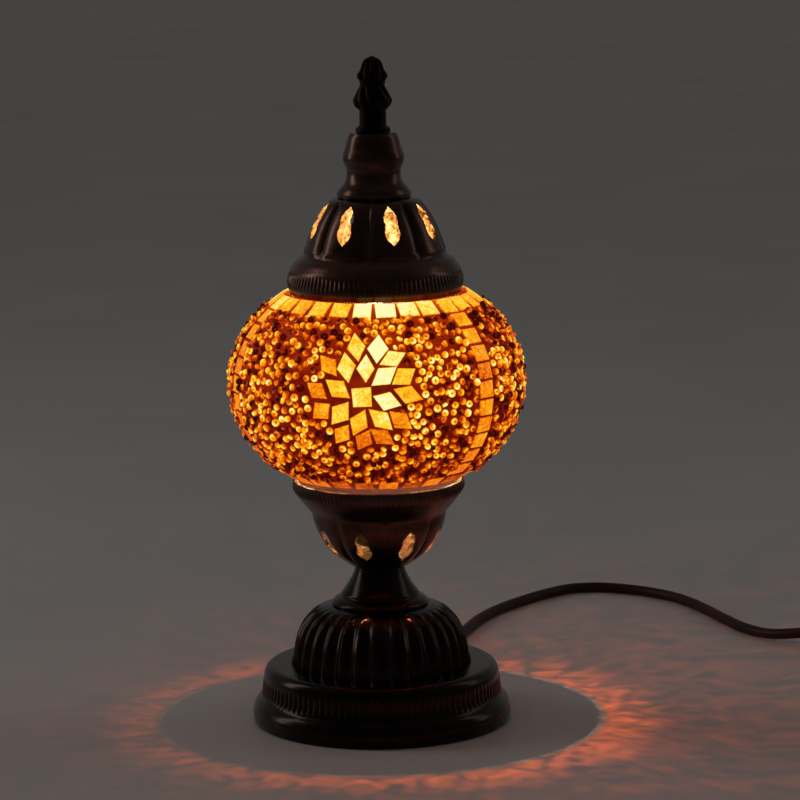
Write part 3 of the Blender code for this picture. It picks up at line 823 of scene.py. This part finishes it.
def add_row(mosaic, height, count, tall, level, flare):
    """A ring of squares round the globe, brighter by flare over each flower."""
    for i in range(count):
        longitude = 360 * (i + 0.4) / count + RANDOM.uniform(-0.4, 0.4)
        place, east, north, _ = spot(longitude, height)
        radius = math.hypot(place.x, place.y)
        wide = math.tau * radius / count - RANDOM.uniform(1.0, 2.0) * MM
        turns = [(longitude - flower - GLARE_TURN + 180) % 360 - 180 for flower in FLOWER_TURNS]
        glare = max(math.exp(-((turn / GLARE_WIDTH) ** 2)) for turn in turns)
        glow = level + flare * glare + RANDOM.uniform(-0.13, 0.13)
        add_tile(mosaic, place, east, north, square(wide, tall), glow)


def add_strip(mosaic, longitude):
    """A column of squares between the two rings."""
    low = math.asin((BOTTOM_ROW - GLOBE_CENTRE) / HALF_HEIGHT)
    high = math.asin((TOP_ROW - GLOBE_CENTRE) / HALF_HEIGHT)
    count = 10
    for i in range(count):
        lean = low + (high - low) * (i + 1.0) / (count + 1.0)
        height = GLOBE_CENTRE + HALF_HEIGHT * math.sin(lean)
        place, east, north, _ = spot(longitude + RANDOM.uniform(-0.6, 0.6), height)
        level = 0.56 + 0.25 * (brightness(place) - 0.6) + RANDOM.uniform(-0.1, 0.1)
        add_tile(mosaic, place, east, north, square(8.4 * MM, 7.1 * MM), level)


def inside_tile(point, margin):
    """Whether a place lies on a tile or closer to it than the margin."""
    for place, east, north, outline in TILES:
        offset = point - place
        if offset.length > TILE_REACH:
            continue
        x, y = offset.dot(east), offset.dot(north)
        count = len(outline)
        deepest = min(
            ((bx - ax) * (y - ay) - (by - ay) * (x - ax)) / math.hypot(bx - ax, by - ay)
            for (ax, ay), (bx, by) in ((outline[i], outline[(i + 1) % count]) for i in range(count))
        )
        if deepest > -margin:
            return True
    return False


def bead_template(around=12, sides=7):
    """A seed bead of unit outer radius, lying flat: a thick ring with a small hole."""
    points, normals = [], []
    for x, y in ring_of(around):
        for out, up in ring_of(sides):
            radius = 0.62 + 0.38 * out
            points.append((radius * x, radius * y, 0.56 * up))
            normals.append((out * x, out * y, up))
    return np.array(points), np.array(normals), grid_faces(around, sides, True)


def scatter_beads():
    """Bead centres scattered over the grout at random, off the tiles and each other."""
    kept = np.empty((0, 3))
    beads = []
    flowers = [spot(longitude, FLOWER_HEIGHT)[0] for longitude in FLOWER_TURNS]
    for tries, gap, flat in ((26000, 3.15 * MM, True), (16000, 2.5 * MM, False)):
        for _ in range(tries):
            height = RANDOM.uniform(BOTTOM_ROW + 2.4 * MM, TOP_ROW - 2.4 * MM)
            rise = (height - GLOBE_CENTRE) / HALF_HEIGHT
            if RANDOM.random() > math.sqrt(1 - rise * rise * (1 - FLATNESS**2)):
                continue
            place, east, north, out = spot(RANDOM.uniform(0, 360), height)
            if len(kept) and np.min(np.sum((kept - np.array(place)) ** 2, axis=1)) < gap * gap:
                continue
            on_flower = min((place - flower).length for flower in flowers) < FLOWER_CORE
            if on_flower or inside_tile(place, (1.5 if flat else 1.1) * MM):
                continue
            kept = np.vstack([kept, np.array(place)])
            beads.append((place, east, north, out, flat))
    return beads


def add_bead(mosaic, template, place, east, north, out, flat, mood):
    """One bead, most lying flat and some tipped up, glowing bright where it faces out, with painted shade
    round its edge and a painted glint on one side.
    """
    points, normals, faces = template
    size = (RANDOM.uniform(1.5, 1.85) if flat else RANDOM.uniform(1.3, 1.6)) * MM
    tip = abs(RANDOM.gauss(0, 0.22)) if flat and RANDOM.random() < 0.85 else RANDOM.uniform(0.5, 1.5)
    spin = RANDOM.uniform(0, math.tau)
    axis = east * math.cos(spin) + north * math.sin(spin)
    turn = np.array(Matrix.Rotation(tip, 3, axis) @ Matrix((east, north, out)).transposed())
    lift = SKIN + (0.35 + 0.3 * abs(math.sin(tip)) + (0.0 if flat else 0.45)) * MM
    centre = place + out * lift
    base = len(mosaic.points)
    mosaic.points += (points @ (turn * size).T + np.array(centre)).tolist()
    mosaic.faces += [tuple(base + i for i in face) for face in faces]
    ring = np.hypot(points[:, 0], points[:, 1])
    facing = np.clip((normals @ turn.T) @ np.array(out), 0.0, 1.0)
    facing = np.where(ring < 0.55, np.maximum(facing, 0.6), facing)
    glint = RANDOM.uniform(0, math.tau)
    side = (points[:, 0] * math.cos(glint) + points[:, 1] * math.sin(glint)) / ring
    # Painted shade dims each bead's glow where it turns from the way out, round its edge, and a painted
    # glint brightens one side.
    level = mood * (0.3 + 0.7 * facing**0.7) + 0.24 * side * facing
    mosaic.lit += level.tolist()


def make_globe():
    """Glass, grout skin, tiles and beads."""
    glass = turned_piece("glass_globe", 160, 2.0)
    outline, closed = section("mosaic_layer", Matrix())
    outside = 0.99                  # of the outline's own reach, so that the inner side stays
    pressed = []
    for radius, height in finer(outline, closed, 1.6 * MM):
        reach = math.hypot(radius / GLOBE_RADIUS, (height - GLOBE_CENTRE) / HALF_HEIGHT)
        pull = 1 + SKIN / GLOBE_RADIUS if reach > outside and radius > NECK_RADIUS else 1.0
        pressed.append((radius * pull, GLOBE_CENTRE + (height - GLOBE_CENTRE) * pull))
    mesh = lathe("grout_skin", pressed, closed, 200)
    store(mesh, "lit", [brightness(vertex.co) for vertex in mesh.vertices])
    skin = piece("grout_skin", mesh, "mosaic_layer", [grout()])
    flowers, strips, rows = Mosaic(), Mosaic(), Mosaic()
    for longitude in FLOWER_TURNS:
        add_flower(flowers, longitude)
    add_row(rows, TOP_ROW, 28, 8.3 * MM, 0.77, 0.5)
    add_row(rows, BOTTOM_ROW, 25, 6.6 * MM, 0.46, 0.0)
    for longitude in STRIP_TURNS:
        add_strip(strips, longitude)
    tiles = (("flower_tiles", flowers), ("strip_tiles", strips), ("row_tiles", rows))
    parts = [group.make(name, FINISHES["mosaic"]) for name, group in tiles]
    template = bead_template()
    bead_glass = lit_glass("bead_glass", (0.06, 0.012, 0.002), 0.4)
    groups = [Mosaic(), Mosaic(), Mosaic()]
    moods = (0.92, 0.62, 0.16)
    for place, east, north, out, flat in scatter_beads():
        kind = RANDOM.choices((0, 1, 2), (0.44, 0.34, 0.22))[0]
        # Random patches, and painted shade: the glow fades above and below a height of 150 mm and towards
        # the left and right sides.
        patches_and_falloff = 0.12 * math.sin(place.x * 130 + 1.0) * math.sin(place.z * 150) * math.cos(place.y * 110)
        patches_and_falloff -= 0.2 * ((place.z - 0.150) / 0.025) ** 2 + 0.17 * (place.x / GLOBE_RADIUS) ** 2
        mood = moods[kind] + patches_and_falloff + RANDOM.uniform(-0.1, 0.1)
        add_bead(groups[kind], template, place, east, north, out, flat, mood)
    for name, group in zip(("yellow_beads", "orange_beads", "dark_beads"), groups):
        parts.append(group.make(name, bead_glass))
    return glass, [skin, *parts]


# ---------------- bulb

def curve_piece(name, points, radius, node, replace=True, resolution=3):
    """A round wire or lead along the points."""
    data = bpy.data.curves.new(name, "CURVE")
    data.dimensions = "3D"
    data.bevel_depth = radius
    data.bevel_resolution = resolution
    data.use_fill_caps = True
    spline = data.splines.new("POLY")
    spline.points.add(len(points) - 1)
    for point, place in zip(spline.points, points):
        point.co = (*place, 1.0)
    thing = new_object(name, data)
    data.materials.append(FINISHES[SLOT_OF[node]])
    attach(thing, BODY_OF[node])
    if replace:
        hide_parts(node)
    return thing


def filament_route():
    """The corners of the filament's zigzag round its cage, between the two ends on the stem."""
    low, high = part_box("bulb_filament")
    cage = 5.0 * MM
    corners = 7
    route = [Vector((-1.2 * MM, 0.0, low.z + 0.6 * MM))]
    for corner in range(corners):
        turn = math.pi + math.tau * (corner + 0.5) / corners
        height = low.z + 3.6 * MM if corner % 2 == 0 else high.z - 0.5 * MM
        route.append(Vector((cage * math.cos(turn), cage * math.sin(turn), height)))
    return route + [Vector((1.2 * MM, 0.0, low.z + 0.6 * MM))]


def make_bulb():
    """Glass, base with its rolled thread, contact, stem, filament and its thin holders."""
    parts = [turned_piece("bulb_glass", 96, 1.2), turned_piece("bulb_stem", 48, 0.8)]
    turned_piece("bulb_base", 72, 0.35, thread(2.8, 0.3, 110, 127))
    turned_piece("bulb_contact", 48, 0.5)
    route = filament_route()
    coil = []
    coil_radius, pitch, per_turn = 0.28 * MM, 0.62 * MM, 8
    phase = 0
    for start, end in zip(route, route[1:]):
        along = (end - start).normalized()
        side = along.cross(Vector((0.3, 0.2, 1.0))).normalized()
        other = along.cross(side)
        steps = round((end - start).length / pitch * per_turn)
        for step in range(steps):
            turn = math.tau * phase / per_turn
            phase += 1
            around = side * math.cos(turn) + other * math.sin(turn)
            coil.append(start.lerp(end, step / steps) + around * coil_radius)
    parts.append(curve_piece("filament_coil", coil, 0.09 * MM, "bulb_filament", resolution=1))
    stem_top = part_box("bulb_stem")[1].z
    for number, corner in enumerate(route[2:-1:2]):
        foot = Vector((0.0, 0.0, stem_top - 0.6 * MM))
        holder = [foot, foot.lerp(corner, 0.35) + Vector((0, 0, -1.0 * MM)), corner]
        parts.append(curve_piece(f"filament_holder_{number + 1}", holder, 0.12 * MM, "bulb_base", False, 1))
    return parts


# ---------------- cords, switch and plug

CORD = 5.0 * MM
COIL_CENTRE = middle("cord_coil")
COIL_TURNS = 7                  # in both layers together
COIL_OUTSIDE = 36.4 * MM        # radius of the outer turn's middle
COIL_STEP = 5.05 * MM
COIL_LIFT = 0.5 * MM            # the tie passes under the coil
FIRST_RUN = [
    (20.8, 77.6, 15.5), (25.5, 95.0, 13.4), (30.5, 114.0, 7.2), (35.5, 132.0, 3.2), (40.5, 151.0, 2.6),
    (47.5, 173.0, 2.6), (57.0, 193.0, 2.6), (69.0, 211.0, 2.6), (82.0, 227.0, 2.6), (95.5, 238.5, 2.6),
    (110.0, 240.5, 2.6), (123.0, 235.5, 2.6), (134.5, 227.5, 2.6), (144.5, 217.0, 2.6), (152.0, 204.0, 2.6),
    (159.0, 186.0, 2.6), (166.0, 165.0, 2.6), (173.5, 146.0, 2.6), (184.0, 130.0, 3.4), (200.0, 118.5, 6.4),
    (221.7, 110.1, 8.6),
]
SECOND_RUN = [
    (280.5, 88.7, 8.6), (292.0, 83.5, 7.0), (302.5, 73.0, 4.0), (309.0, 58.0, 2.7), (311.0, 37.5, 2.6),
]
THIRD_RUN = [(311.0, -8.0, 7.8), (311.0, -22.0, 6.2), (311.0, -36.0, 6.4), (311.0, -47.4, 7.0)]


def smooth_through(route, steps):
    """Points along a smooth curve through the route's points."""
    fine = []
    for i in range(len(route) - 1):
        before, after = route[max(i - 1, 0)], route[min(i + 2, len(route) - 1)]
        start, end = route[i], route[i + 1]
        leaving, arriving = (end - before) / 2, (after - start) / 2
        fine += [curve_point(start, end, leaving, arriving, step / steps) for step in range(steps)]
    return fine + [route[-1]]


def coil_points():
    """Two flat layers: clockwise in to the middle, up one cord, and out again on top."""
    per_turn = 42
    climb = per_turn // 3
    flat = (COIL_TURNS * per_turn - climb) // 2
    inside = COIL_OUTSIDE - COIL_STEP * flat / per_turn
    low = CORD / 2 + COIL_LIFT
    high = low + CORD + 0.1 * MM
    placed = []
    for step in range(COIL_TURNS * per_turn + 1):
        way_in = min(step / flat, 1.0)
        way_out = max((step - flat - climb) / flat, 0.0)
        radius = COIL_OUTSIDE - (COIL_OUTSIDE - inside) * (way_in - way_out)
        height = low + (high - low) * smooth_step(step, flat, flat + climb)
        away, _ = outward(-math.tau * step / per_turn)
        placed.append(Vector((COIL_CENTRE.x, COIL_CENTRE.y, height)) + away * radius)
    return placed


def make_tie():
    """A soft flat tie round one side of the coil, its ends twisted together on top."""
    away, along = outward(math.radians(200))
    centre = COIL_CENTRE.copy()
    centre.z = 0.0
    inner, outer = 16.4 * MM, 39.8 * MM
    top = COIL_LIFT + 2 * CORD + 0.6 * MM
    corner = 2.4 * MM
    path = []
    for x, z, start in ((outer - corner, top - corner, 0), (inner + corner, top - corner, 90),
                        (inner + corner, corner + 0.3 * MM, 180), (outer - corner, corner + 0.3 * MM, 270)):
        bends = [math.radians(start + 15 * i) for i in range(7)]
        path += [(x + corner * math.cos(bend), z + corner * math.sin(bend)) for bend in bends]
    thick, wide = 0.22 * MM, 2.4 * MM
    points = []
    mid_x, mid_z = (inner + outer) / 2, top / 2
    for x, z in path:
        out = Vector((x - mid_x, (z - mid_z) * 1.8)).normalized() * thick
        for side, layer in ((-wide, 1), (wide, 1), (wide, -1), (-wide, -1)):
            lift = Vector((0, 0, z + layer * out.y))
            points.append(centre + away * (x + layer * out.x) + lift + along * side)
    mesh = new_mesh("cord_tie", points, grid_faces(len(path), 4, True))
    tie = piece("cord_tie", mesh, "plug_relief", replace=False)
    knot = [centre + away * (mid_x + 2.2 * MM * math.cos(0.9 * i)) + along * 1.5 * MM * math.sin(0.9 * i)
            + Vector((0, 0, top + (0.5 + 0.25 * i) * MM)) for i in range(12)]
    twist = curve_piece("cord_tie_twist", knot, 0.6 * MM, "plug_relief", False, 2)
    return [tie, twist]


def relief_rings(low, high):
    """Flexing grooves round a rubber strain relief, between two heights."""
    def form(turn, radius, height):
        reach = band(height, low, high, 1.0)
        return -0.55 * reach * (np.cos(height * math.tau / 2.6) > 0.2), 0.0
    return form


def make_pin(node):
    """A round plug pin with a rounded brass tip and an insulating sleeve towards the body."""
    low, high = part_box(node)
    axis = (low + high) / 2
    long, radius, step = high.y - low.y, (high.x - low.x) / 2, 0.12 * MM
    bare = 8.7 * MM                 # the length of brass before the sleeve
    outline = [(0.0, 0.0), (0.45 * radius, 0.12 * radius), (0.8 * radius, 0.45 * radius), (radius, radius)]
    outline += [(radius, bare - 0.1 * MM), (radius - step, bare + 0.1 * MM)]
    outline += [(radius - step, long), (0.0, long)]
    place = Matrix.Translation((axis.x, low.y, axis.z)) @ Matrix.Rotation(-math.pi / 2, 4, "X")
    mesh = lathe(node + "_fine", finer(outline, False, 0.6 * MM), False, 32, place=place)
    for face in mesh.polygons:
        face.material_index = 1 if face.center.y > low.y + bare else 0
    return piece(node + "_fine", mesh, node, [FINISHES["raw_brass"], FINISHES["black_plastic"]])


def make_ends():
    """The ribbed strain reliefs at the lamp and the plug, and the plug's pins."""
    aim = Euler((-math.pi / 2, 0.0, -CORD_EXIT_TURN)).to_matrix().to_4x4()
    lamp_place = Matrix.Translation((0.0, 0.0, CORD_EXIT_HEIGHT)) @ aim
    lamp_rings = relief_rings(57, 77)
    lamp_relief = turned_piece("strain_relief", 48, 0.3, lamp_rings, lamp_place, sharp=30.0)
    plug_place = Matrix.Translation((311 * MM, -62 * MM, 7 * MM)) @ Matrix.Rotation(-math.pi / 2, 4, "Z")
    plug_place = plug_place @ Matrix.Rotation(math.pi / 2, 4, "Y")
    plug_rings = relief_rings(-13, -2.5)
    plug_relief = turned_piece("plug_relief", 48, 0.3, plug_rings, plug_place, sharp=30.0)
    return lamp_relief, [plug_relief, make_pin("plug_pin_left"), make_pin("plug_pin_right")]


def make_cords():
    """The lead from the lamp to the switch, and the lead from the switch by the coil to the plug."""
    lamp_relief, plug_ends = make_ends()
    first = smooth_through([Vector(p) * MM for p in FIRST_RUN], 6)
    lead = curve_piece("lamp_cord", first, CORD / 2, "cord_run_lamp", resolution=4)
    entering = smooth_through([Vector(p) * MM for p in SECOND_RUN], 6)
    leaving = smooth_through([Vector(p) * MM for p in THIRD_RUN], 6)
    rest = entering + coil_points() + leaving
    long_lead = curve_piece("plug_cord", rest, CORD / 2, "cord_coil", resolution=4)
    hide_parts("cord_run_switch", "cord_run_plug")
    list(make_tie())


# ---------------- stage and light

def make_floor():
    """A wide pale floor."""
    around = 64
    rings = (0.3, 1.0, 3.0, 14.0)
    under = -0.05 * MM              # just below the felt, so that the two don't share a plane
    points = [(0.0, 0.0, under)]
    for radius in rings:
        points += [(x, y, under) for x, y in ring_of(around, radius)]
    faces = [(0, 1 + i, 1 + (i + 1) % around) for i in range(around)]
    faces += grid_faces(len(rings), around, base=1)
    floor = new_object("floor", new_mesh("floor", points, faces))
    finish, shader, place = new_finish("pale_floor")
    set_inputs(shader, {
        "Base Color": ramp(noise(place, 6.0, 4.0), (0.3, (0.66, 0.64, 0.62)), (0.7, (0.72, 0.70, 0.68))),
        "Roughness": 0.55,
        "Normal": bump(noise(place, 900.0), 0.00004),
    })
    floor.data.materials.append(finish)


def add_light(name, kind, place, power, colour, target=None, **settings):
    """A lamp that points at a target."""
    data = bpy.data.lights.new(name, kind)
    data.energy = power
    data.color = colour
    for key, value in settings.items():
        setattr(data, key, value)
    light = new_object(name, data)
    light.location = place
    if target:
        light.rotation_euler = (Vector(target) - Vector(place)).to_track_quat("-Z", "Y").to_euler()
    return light


def share_of(way):
    """A direction's part along one axis, from -1 to 1, as 0 to 1."""
    return sum_node("ADD", sum_node("MULTIPLY", way, 0.5), 0.5)


def shape_bulb_light(data):
    """Colour the bulb's light as the mosaic would: clear through the open necks, amber through the glass."""
    data.use_nodes = True
    emission = data.node_tree.nodes["Emission"]
    way = add_node(emission, "TexCoord").outputs["Normal"]
    split = add_node(way, "SeparateXYZ", {"Vector": way})
    rise = split.outputs["Z"]
    amber, deep = (0.36, 0.05, 0.003), (0.085, 0.011, 0.001)
    down, up = (2.8, 2.5, 1.8), (1.0, 0.8, 0.5)
    colour = ramp(share_of(rise), (0.0, down), (0.057, down), (0.063, amber), (0.078, amber), (0.1, deep),
                  (0.66, deep), (0.70, amber), (0.745, amber), (0.75, up))
    cutoff, floor, gain = 0.38, 0.02, 8.0
    patches = sum_node("SUBTRACT", noise(way, 14.0, 4.0, 0.6, 2.0), cutoff)
    patches = sum_node("MULTIPLY", sum_node("MAXIMUM", patches, floor), gain)
    sideways = span(sum_node("ADD", split.outputs["X"], 0.5), 0.35, 1.35)
    uneven = sum_node("MULTIPLY", patches, sideways)
    # The mosaic breaks the light up where it rises by -0.89 to 0.39, and the open necks leave it even
    through_glass = sum_node("LESS_THAN", sum_node("ABSOLUTE", sum_node("ADD", rise, 0.25)), 0.64)
    strength = add_node(way, "Mix", {"Factor": through_glass, "A": 1.0, "B": uneven}).outputs["Result"]
    set_inputs(emission, {"Color": colour, "Strength": strength})


def spare(things, name):
    """A collection that a light leaves out."""
    spared = bpy.data.collections.new(name)
    for thing in things:
        spared.objects.link(thing)
    return spared


def link_lights(bulb, see_through, self_lit):
    """Let the bulb's light pass the glass and the mosaic, which glow by themselves."""
    linking = bulb.light_linking
    linking.blocker_collection = spare(see_through, "light_passes")
    linking.receiver_collection = spare(self_lit, "light_spares")
    for group in (linking.blocker_collection, linking.receiver_collection):
        for entry in group.collection_objects:
            entry.light_linking.link_state = "EXCLUDE"


def make_lights(see_through, self_lit):
    """The bulb's own light, two soft boxes and a dim grey room, darker behind the camera."""
    bulb = add_light("bulb_light", "POINT", HOT, 2.0, (1.0, 1.0, 1.0), shadow_soft_size=2.0 * MM)
    shape_bulb_light(bulb.data)
    bulb.visible_camera = False
    bulb.visible_glossy = False
    link_lights(bulb, see_through, self_lit)
    for name, side, power, colour in (
        ("left_softbox", -1, 1.6, (0.93, 0.97, 1.0)),
        ("right_softbox", 1, 0.5, (0.95, 0.98, 1.0)),
    ):
        add_light(name, "AREA", (side * 1.15, 0.25, 0.62), power, colour, (0.0, 0.0, 0.15),
                  shape="RECTANGLE", size=0.3, size_y=0.9)
    world = bpy.data.worlds.new("room")
    bpy.context.scene.world = world
    world.use_nodes = True
    background = world.node_tree.nodes["Background"]
    way = add_node(background, "TexCoord").outputs["Generated"]
    depth = add_node(way, "SeparateXYZ", {"Vector": way}).outputs["Y"]
    room = ramp(share_of(depth), (0.0, (0.024, 0.0235, 0.0235)), (1.0, (0.116, 0.114, 0.112)))
    set_inputs(background, {"Color": room})
    bpy.context.scene.view_settings.view_transform = "Standard"


def finish_carried_nodes():
    """Give every CAD node that stays its finish."""
    for name, thing in NODES.items():
        for slot in thing.material_slots:
            slot.material = FINISHES[SLOT_OF[name]]


make_camera()
finish_carried_nodes()
make_cords()
make_metal()
make_insides()
globe_glass, mosaic_parts = make_globe()
bulb_parts = make_bulb()
make_floor()
make_lights([globe_glass, *mosaic_parts, *bulb_parts], mosaic_parts)
